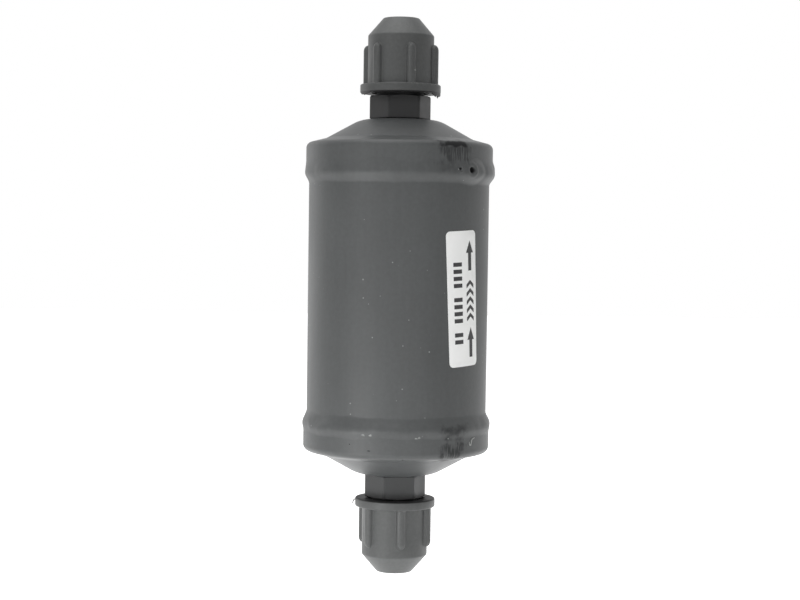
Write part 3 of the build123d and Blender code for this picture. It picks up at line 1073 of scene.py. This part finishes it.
def powder_coat(name):
    """Dark grey powder coat with fine orange peel, faint clouds, specks and rubbed dark patches, painted
    shade in its pits and painted glints on the lower bead and the pore's lip.
    """
    look = bpy.context.scene.drier_finish
    made, tree, shader = new_material(name)
    clouds = grain(tree, 55.0, detail=4.0, stretch=1.6)
    fine = grain(tree, 900.0, detail=2.0, contrast=1.4)
    brushed = grain(tree, 700.0, detail=3.0, stretch=14.0)
    base = tint(tree, look.coat, fade(tree, clouds, 0.25, 0.75, 0.9, 1.09))
    base = tint(tree, base, fade(tree, fine, 0.2, 0.8, 0.95, 1.05))
    base = tint(tree, base, fade(tree, brushed, 0.3, 0.7, 0.97, 1.03))
    strokes = {
        "streaks": use_group(tree, "strokes", {"Pitch": 1.15, "Run": 0.16, "Fill": 0.62})["Mask"],
        "dense": use_group(tree, "strokes", {"Pitch": 0.4, "Run": 0.6, "Fill": 0.8})["Mask"],
    }
    rubs_and_hollow_shade = None
    for *where, amount, kind in COAT_RUBS:
        patch = patch_of(tree, *where, "Mask")
        part = times(tree, times(tree, patch, strokes[kind]), amount)
        rubs_and_hollow_shade = part if rubs_and_hollow_shade is None else larger(tree, rubs_and_hollow_shade, part)
    # Painted shade in the crater, the pore and the nicks.
    for where in COAT_PITS:
        rubs_and_hollow_shade = larger(tree, rubs_and_hollow_shade, patch_of(tree, *where, 0.5, "Round"))
    base = mix(tree, rubs_and_hollow_shade, base, look.coat_worn_and_hollow_shade)
    dust = specks_of(tree, 240.0, 0.38, 0.08)
    motes = specks_of(tree, 600.0, 0.1, 0.19)
    glint_cells = specks_of(tree, 800.0, 0.75, 0.75)
    specks = times(tree, larger(tree, dust, motes), 0.65)
    # Painted glints on the lower bead and on the pore's lip, in the dust colour.
    for where in COAT_PAINTED_GLINTS:
        specks = larger(tree, specks, times(tree, patch_of(tree, *where, 0.6, "Round"), glint_cells))
    base = mix(tree, specks, base, look.coat_dust_and_glint)
    link(tree, fade(tree, rubs_and_hollow_shade, 0.0, 1.0, 0.5, 0.1), shader, "Specular IOR Level")
    link(tree, base, shader, "Base Color")
    rough = fade(tree, clouds, 0.2, 0.8, look.coat_roughness - 0.05, look.coat_roughness + 0.06)
    link(tree, plus(tree, rough, times(tree, rubs_and_hollow_shade, 0.15)), shader, "Roughness")
    peel = grain(tree, 1500.0, detail=2.0)
    dents = grain(tree, 120.0, detail=1.0)
    relief = plus(tree, times(tree, peel, 0.35), dents)
    bump(tree, shader, relief, 0.35, 0.00012)
    return made


def fitting_coat(end, tone):
    """Thin dark coat on a fitting, with painted shade near the cap; the sealing cone and the bore are bare
    metal.
    """
    look = bpy.context.scene.drier_finish
    made, tree, shader = new_material(f"{end}_fitting_coat")
    place = use_group(tree, "place_on_can")
    height = absolute(tree, place["Height"])
    bare = fade(tree, height, (DOME_TOP + 8.6 * MM) * 1000, (DOME_TOP + 9.3 * MM) * 1000)
    inside = fade(tree, place["Radius"], 3.75, 3.62)
    bare = larger(tree, bare, inside)
    clouds = grain(tree, 160.0, detail=4.0)
    turned = grain(tree, 2200.0, detail=2.0, stretch=0.15)
    coat = tint(tree, tone, fade(tree, clouds, 0.25, 0.75, 0.86, 1.18))
    # Painted shade: the coat darkens towards the cap, whose flange shades it.
    painted_shade_by_cap = fade(tree, height, (DOME_TOP + 4.2 * MM) * 1000, (DOME_TOP + 6.6 * MM) * 1000)
    coat = tint(tree, coat, fade(tree, painted_shade_by_cap, 0.0, 1.0, 1.0, 0.45))
    metal = tint(tree, look.brass, fade(tree, turned, 0.2, 0.8, 0.8, 1.08))
    link(tree, mix(tree, bare, coat, metal), shader, "Base Color")
    link(tree, bare, shader, "Metallic")
    link(tree, fade(tree, bare, 0.0, 1.0, 0.3, 0.5), shader, "Specular IOR Level")
    link(tree, fade(tree, clouds, 0.2, 0.8, 0.4, 0.55), shader, "Roughness")
    bump(tree, shader, turned, 0.12, 0.00004)
    return made


def cap_plastic(name, end):
    """Dark moulded plastic: cloudy, finely pitted, scuffed along its edges; painted shade on its rim and
    mouth, painted light on its cone and on the whole inlet cap.
    """
    look = bpy.context.scene.drier_finish
    made, tree, shader = new_material(name)
    clouds = grain(tree, 120.0, detail=4.0, contrast=1.3)
    fine = grain(tree, 1100.0, detail=3.0, contrast=1.5)
    scratches = grain(tree, 1300.0, detail=2.0, stretch=18.0)
    place = use_group(tree, "place_on_can")
    if end == "outlet":
        rim, cap_painted_light, tip = OUTLET_RIM, 1.0, look.outlet_tip_painted_light
    else:
        rim, cap_painted_light, tip = INLET_RIM, look.inlet_painted_light, look.inlet_tip_painted_light
    up = minus(tree, absolute(tree, place["Height"]), rim * 1000)
    cap = bpy.context.scene.drier_cap
    cone_base = (cap.flange_thickness + cap.body_length) * 1000
    # Painted light: the inlet cap's colour is raised by this factor.
    base = tint(tree, look.plastic, fade(tree, clouds, 0.2, 0.8, 0.88 * cap_painted_light, 1.12 * cap_painted_light))
    base = tint(tree, base, fade(tree, fine, 0.2, 0.8, 0.93, 1.08))
    # Painted light: the cone is made paler than the body by this factor.
    base = tint(tree, base, fade(tree, up, cone_base - 0.5, cone_base + 0.5, 1.0, tip))
    edge = fade(tree, absolute(tree, minus(tree, up, 2.4)), 0.45, 0.1)
    outer = fade(tree, place["Radius"], 11.3, 11.9)
    worn_edge = times(tree, times(tree, edge, outer), fade(tree, clouds, 0.45, 0.75))
    worn_edge = times(tree, worn_edge, fade(tree, fine, 0.4, 0.8))
    past_flange = fade(tree, up, cap.flange_thickness * 1000, cap.flange_thickness * 1000 + 0.4)
    rib_tops = times(tree, fade(tree, place["Radius"], 10.9, 11.2), past_flange)
    rib_wear = times(tree, rib_tops, fade(tree, scratches, 0.52, 0.72, 0.0, 0.5))
    specks = specks_of(tree, 700.0, 0.05, 0.16)
    wear = larger(tree, worn_edge, rib_wear)
    wear = larger(tree, wear, times(tree, specks, 0.6))
    wear = times(tree, wear, 0.7)
    base = mix(tree, wear, base, look.plastic_scuff)
    # Painted shade: the rim face and the mouth are darkened, and their specular lowered, for the shade the
    # can casts there.
    mouth = fade(tree, up, 0.5, 0.2)
    base = mix(tree, mouth, base, look.plastic_mouth_painted_shade)
    link(tree, fade(tree, mouth, 0.0, 1.0, 0.5, 0.3), shader, "Specular IOR Level")
    if end == "outlet":
        # Painted shade: the slit is not cut, only drawn as a dark spot.
        slit_painted_shade = patch_of(tree, 23.4, 68.9, 1.5, 1.5, 0.6, "Round")
        nick = patch_of(tree, 23.2, 67.2, 2.6, 0.24, 0.6, "Mask")
        base = mix(tree, slit_painted_shade, base, look.coat_worn_and_hollow_shade)
        base = mix(tree, times(tree, nick, 0.7), base, look.coat_dust_and_glint)
    link(tree, base, shader, "Base Color")
    rough = fade(tree, clouds, 0.2, 0.8, look.plastic_roughness - 0.06, look.plastic_roughness + 0.08)
    link(tree, rough, shader, "Roughness")
    relief = plus(tree, fine, times(tree, scratches, 0.5))
    bump(tree, shader, relief, 0.3, 0.00007)
    return made


def label_film():
    """White film, greyer in patches near its top and bottom edges."""
    look = bpy.context.scene.drier_finish
    made, tree, shader = new_material("label_white_film")
    clouds = grain(tree, 160.0, detail=4.0)
    base = tint(tree, look.film, fade(tree, clouds, 0.2, 0.8, 0.97, 1.01))
    place = use_group(tree, "place_on_can")
    up = absolute(tree, minus(tree, place["Height"], LABEL_MIDDLE * 1000))
    greyer_near_edges = times(tree, fade(tree, up, 17.5, 20.0), fade(tree, clouds, 0.4, 0.75))
    base = mix(tree, times(tree, greyer_near_edges, 0.35), base, (0.5, 0.5, 0.5))
    link(tree, base, shader, "Base Color")
    link(tree, fade(tree, clouds, 0.2, 0.8, 0.42, 0.52), shader, "Roughness")
    fibres = grain(tree, 1800.0, detail=3.0)
    bump(tree, shader, fibres, 0.1, 0.00003)
    return made


def label_ink():
    """Dark print, thin in places."""
    look = bpy.context.scene.drier_finish
    made, tree, shader = new_material("label_dark_print")
    thin = grain(tree, 900.0, detail=4.0, contrast=1.6)
    link(tree, tint(tree, look.ink, fade(tree, thin, 0.3, 0.9, 0.8, 1.9)), shader, "Base Color")
    link(tree, fade(tree, thin, 0.2, 0.8, 0.4, 0.55), shader, "Roughness")
    return made


def dried_run_painted_highlight():
    """Dried run on the coat, coloured pale as a painted highlight along its ridge."""
    look = bpy.context.scene.drier_finish
    made, tree, shader = new_material("dried_run_painted_highlight")
    clouds = grain(tree, 800.0, detail=3.0)
    # Painted highlight: the pale dust colour, raised further, stands for the light on the run's ridge.
    link(tree, tint(tree, look.coat_dust_and_glint, fade(tree, clouds, 0.3, 0.7, 0.9, 1.4)), shader, "Base Color")
    shader.inputs["Roughness"].default_value = 0.4
    return made


def grained(name, tone, roughness, scale, contrast, relief, metallic=0.0, stretch=1.0):
    """Plain stuff with a grain of its own: metal sheet, felt, desiccant or rubber."""
    made, tree, shader = new_material(name)
    coarse = grain(tree, scale, detail=5.0, stretch=stretch, contrast=1.4)
    fine = grain(tree, 6 * scale, detail=2.0, stretch=stretch)
    base = tint(tree, tone, fade(tree, coarse, 0.2, 0.8, 1 - contrast, 1 + contrast))
    link(tree, tint(tree, base, fade(tree, fine, 0.2, 0.8, 0.94, 1.06)), shader, "Base Color")
    link(tree, fade(tree, coarse, 0.2, 0.8, roughness - 0.06, roughness + 0.06), shader, "Roughness")
    shader.inputs["Metallic"].default_value = metallic
    bump(tree, shader, plus(tree, coarse, fine), 0.4, relief)
    return made


def paint(name, material):
    """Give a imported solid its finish."""
    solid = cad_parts[name]
    solid.data.materials.clear()
    solid.data.materials.append(material)


class DRIER_OT_can(Operator):
    """Coat the shell and both end caps of the can"""

    bl_idname = "drier.can"
    bl_label = "Can"

    def execute(self, context):
        coat = powder_coat("can_coat")
        for name in ("shell_tube", "outlet_end_cap", "inlet_end_cap"):
            paint(name, coat)
        return {"FINISHED"}


class DRIER_OT_inner_pieces(Operator):
    """Finish the seals and all that the can holds"""

    bl_idname = "drier.inner_pieces"
    bl_label = "Seals and inner pieces"

    def execute(self, context):
        steel = grained("pressed_sheet_steel", (0.42, 0.42, 0.41), 0.38, 220.0, 0.1, 0.00002, 1.0)
        felt = grained("needled_felt", (0.62, 0.60, 0.54), 0.92, 900.0, 0.16, 0.0002)
        finishes = {
            grained("seal_black_rubber", (0.022, 0.022, 0.023), 0.6, 500.0, 0.2, 0.00003):
                ("outlet_cap_seal", "inlet_cap_seal"),
            grained("bronze_braze", (0.62, 0.42, 0.20), 0.35, 420.0, 0.22, 0.00006, 1.0):
                ("outlet_braze_ring", "inlet_braze_ring"),
            grained("drawn_spring_wire", (0.36, 0.35, 0.34), 0.3, 900.0, 0.12, 0.00002, 1.0):
                ("compression_spring",),
            steel: ("pressure_plate", "support_plate"),
            grained("woven_screen", (0.5, 0.5, 0.49), 0.42, 2600.0, 0.45, 0.0001, 1.0): ("outlet_screen",),
            felt: ("inlet_filter_pad", "outlet_filter_mat"),
            grained("bonded_desiccant", (0.58, 0.50, 0.41), 0.9, 650.0, 0.22, 0.0003): ("desiccant_core",),
            grained("collar_fibre", (0.47, 0.42, 0.33), 0.85, 500.0, 0.18, 0.0001): ("core_collar",),
        }
        for material, names in finishes.items():
            for name in names:
                paint(name, material)
        return {"FINISHED"}


# ---------------------------------------------------------------- stage


FLOOR_WHITE = 0.86
# Lamps: place, aim, width, height and watts. The three low ones stand a lift over the floor.
LAMPS = {
    "left_back": ((-0.7, 0.6, 0.1), (0, 0, 0), 0.6, 0.9, 0.9),
    "left_front": ((-0.7, -0.7, 0.1), (0, 0, 0), 0.5, 0.8, 1.35),
    "top": ((-0.12, -0.1, 0.9), (0, 0, 0), 0.9, 0.9, 4.7),
    "top_front": ((-0.25, -0.72, 0.7), (0, 0, 0), 0.9, 0.4, 1.3),
}
LOW_LAMPS = {
    "low_front": ((0, -0.4, 14 * MM), (0, 0, -0.03), 0.5, 0.08, 0.26),
    "low_left": ((-0.12, -0.13, 5 * MM), (0, 0, -0.06), 0.1, 0.04, 0.12),
    "under": ((0, 0, 0), (0, 0, 0), 0.3, 0.3, 0.2),
}


def soft_lamp(name, place, aim, width, height, power):
    """Rectangular lamp, hidden from the camera."""
    data = bpy.data.lights.new(name, "AREA")
    data.shape = "RECTANGLE"
    data.size = width
    data.size_y = height
    data.energy = power
    lamp = place_object(name, data)
    lamp.location = place
    lamp.rotation_euler = (Vector(aim) - Vector(place)).to_track_quat("-Z", "Y").to_euler()
    lamp.visible_camera = False


def seen_or_mirrored(tree):
    """1 for rays of the camera and those mirrored or let through, 0 for the light that falls on things."""
    path = node(tree, "LightPath").outputs
    seen = larger(tree, path["Is Camera Ray"], path["Is Glossy Ray"])
    return larger(tree, seen, path["Is Transmission Ray"])


def white_world(level):
    """White all round where it is seen or mirrored, and a plain level of light elsewhere."""
    world = bpy.data.worlds.new("studio_world")
    bpy.context.scene.world = world
    world.use_nodes = True
    tree = world.node_tree
    tree.nodes.clear()
    seen = seen_or_mirrored(tree)
    strength = node(tree, "MapRange", {"Value": seen, "To Min": level, "To Max": 1.0}).outputs[0]
    back = node(tree, "Background", {"Color": (1, 1, 1), "Strength": strength})
    output = node(tree, "OutputWorld")
    tree.links.new(back.outputs[0], output.inputs["Surface"])


def pale_floor(setup):
    """Pale floor that shows white to the camera and still takes the object's shadow."""
    bm = bmesh.new()
    bmesh.ops.create_grid(bm, x_segments=8, y_segments=8, size=setup.floor_size / 2)
    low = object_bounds()[0].z - setup.floor_drop
    bmesh.ops.translate(bm, verts=bm.verts[:], vec=(0, 0, low))
    mesh = bpy.data.meshes.new("studio_floor")
    bm.to_mesh(mesh)
    bm.free()
    floor = place_object("studio_floor", mesh)
    made, tree, shader = new_material("floor_white")
    shader.inputs["Base Color"].default_value = (FLOOR_WHITE, FLOOR_WHITE, FLOOR_WHITE, 1)
    shader.inputs["Roughness"].default_value = 0.9
    seen = seen_or_mirrored(tree)
    shader.inputs["Emission Color"].default_value = (1, 1, 1, 1)
    link(tree, times(tree, seen, FLOOR_WHITE), shader, "Emission Strength")
    mesh.materials.append(made)
    floor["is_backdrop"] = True


class DRIER_OT_stage(Operator):
    """Set the white floor, the world, the soft lamps and the camera"""

    bl_idname = "drier.stage"
    bl_label = "Stage"

    def execute(self, context):
        setup = context.scene.drier_stage
        white_world(setup.world_level)
        pale_floor(setup)
        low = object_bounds()[0].z - setup.floor_drop + 0.6 * MM
        for name, lamp in LAMPS.items():
            soft_lamp(name, *lamp)
        for name, ((x, y, lift), *lamp) in LOW_LAMPS.items():
            soft_lamp(name, (x, y, low + lift), *lamp)
        data = bpy.data.cameras.new("camera")
        data.lens = setup.lens
        data.sensor_width = 36
        data.shift_y = setup.shift
        data.clip_start = 0.01
        camera = place_object("camera", data)
        place = Vector((setup.camera_side, -setup.distance, setup.camera_height))
        aim = Vector((setup.camera_side, 0, setup.aim_height))
        turn = (aim - place).to_track_quat("-Z", "Y").to_matrix()
        turn = turn @ Matrix.Rotation(setup.roll, 3, "Z")
        camera.matrix_world = Matrix.Translation(place) @ turn.to_4x4()
        context.scene.camera = camera
        context.scene.view_settings.view_transform = "Standard"
        return {"FINISHED"}


# ---------------------------------------------------------------- panel and registration


OPERATORS = (
    DRIER_OT_can,
    DRIER_OT_weld_beads,
    DRIER_OT_flare_fittings,
    DRIER_OT_sealing_caps,
    DRIER_OT_flow_label,
    DRIER_OT_paint_run,
    DRIER_OT_inner_pieces,
    DRIER_OT_stage,
)

SETTINGS = {
    "drier_weld": DrierWeld,
    "drier_fitting": DrierFitting,
    "drier_cap": DrierCap,
    "drier_label": DrierLabel,
    "drier_finish": DrierFinish,
    "drier_stage": DrierStage,
}


class DRIER_PT_panel(Panel):
    """Lists the pieces of the drier and their sizes"""

    bl_label = "Filter drier"
    bl_space_type = "VIEW_3D"
    bl_region_type = "UI"
    bl_category = "Drier"

    def draw(self, context):
        for operator in OPERATORS:
            self.layout.operator(operator.bl_idname)
        for name, kind in SETTINGS.items():
            box = self.layout.box()
            box.label(text=name)
            for setting in kind.__annotations__:
                box.prop(getattr(context.scene, name), setting)


def register():
    for kind in (*SETTINGS.values(), *OPERATORS, DRIER_PT_panel):
        bpy.utils.register_class(kind)
    for name, kind in SETTINGS.items():
        setattr(bpy.types.Scene, name, PointerProperty(type=kind))


def unregister():
    for name in SETTINGS:
        delattr(bpy.types.Scene, name)
    for kind in reversed((*SETTINGS.values(), *OPERATORS, DRIER_PT_panel)):
        bpy.utils.unregister_class(kind)


def main():
    register()
    make_groups()
    for operator in OPERATORS:
        getattr(bpy.ops.drier, operator.bl_idname.removeprefix("drier."))()


if __name__ == "__main__":
    main()
